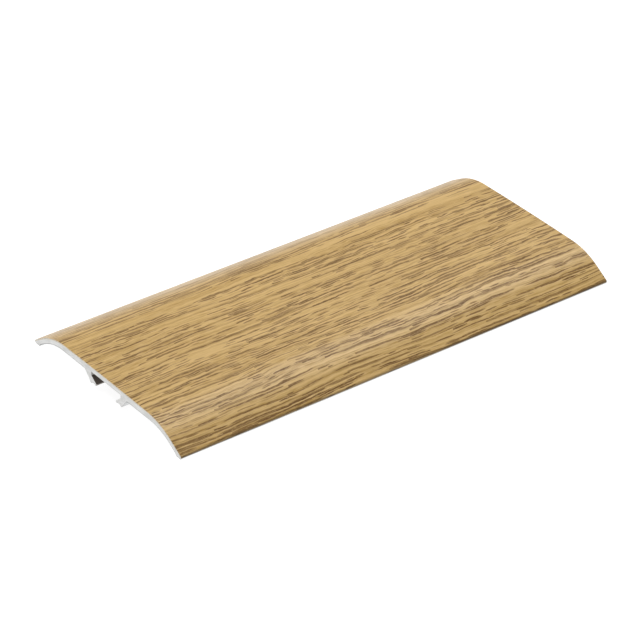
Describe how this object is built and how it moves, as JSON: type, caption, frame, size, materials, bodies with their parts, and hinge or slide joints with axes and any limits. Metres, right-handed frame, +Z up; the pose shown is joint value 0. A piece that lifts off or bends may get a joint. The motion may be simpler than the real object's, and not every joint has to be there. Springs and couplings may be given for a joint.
{
  "type": "threshold strip",
  "caption": "Low arched threshold strip: an aluminium extrusion wrapped in oak-look foil, with two thin lips and a hooked fixing channel under its crown.",
  "frame": {"origin": "on the floor, under the middle of the strip's footprint", "axes": "+X along the strip, +Y across it, +Z up from the floor to the crown"},
  "size_m": [0.1, 0.048, 0.0047],
  "materials": {
    "mill_aluminium": "mill finish with fine die lines, sawn bright at the ends",
    "hot_melt": "translucent amber hot-melt film",
    "oak_foil": "satin foil printed with golden oak grain, dark pores running along the strip"
  },
  "bodies": {
    "root": {"aluminium_profile": "mill_aluminium", "adhesive_film": "hot_melt", "decor_foil": "oak_foil"}
  },
  "joints": []
}
